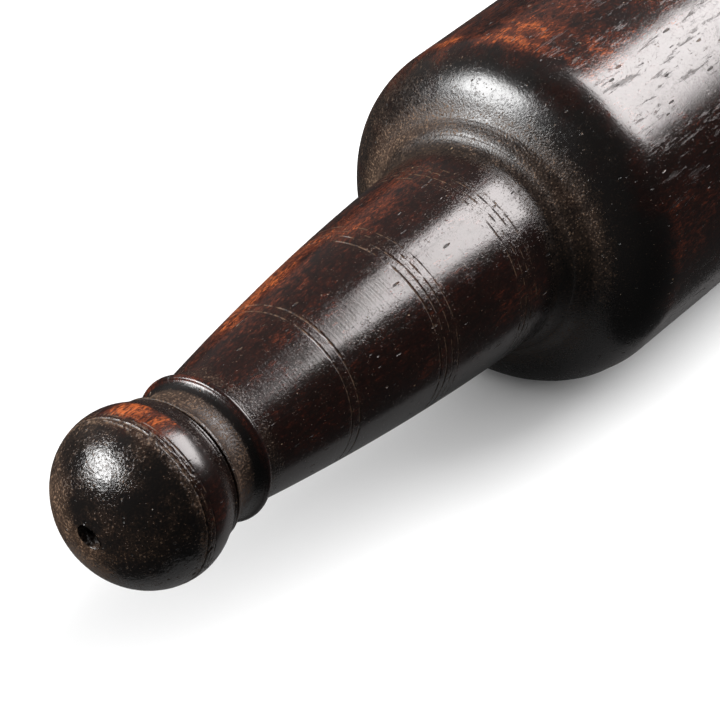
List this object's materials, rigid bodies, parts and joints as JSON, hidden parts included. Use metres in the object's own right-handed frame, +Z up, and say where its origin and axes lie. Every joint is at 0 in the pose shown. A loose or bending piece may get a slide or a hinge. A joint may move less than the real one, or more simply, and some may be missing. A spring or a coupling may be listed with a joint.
{
  "type": "muddler",
  "caption": "Turned dark hardwood muddler: ball knob, hollowed collar, flared handle with scribed lines, and a heavy round head, lying on its side.",
  "frame": {"origin": "centre of the bounding box in X and Y, at its lowest point, on the surface that the head lies on", "axes": "+Y along the turned axis from the knob to the head's working face, +Z up, +X to the right when looking along +Y"},
  "size_m": [0.0536, 0.1999, 0.0536],
  "materials": {
    "knob_wood": "waxed, worn and grimy at the tip, glossy behind",
    "collar_wood": "grimy in the hollow, polished on the crest",
    "handle_wood": "polished by handling",
    "wedge_wood": "bare sawn wood",
    "head_wood": "polished body, grimy shoulder, worn open pores"
  },
  "bodies": {
    "root": {"knob": "knob_wood", "collar": "collar_wood", "handle": "handle_wood", "tenon_wedge": "wedge_wood", "head": "head_wood"}
  },
  "joints": []
}
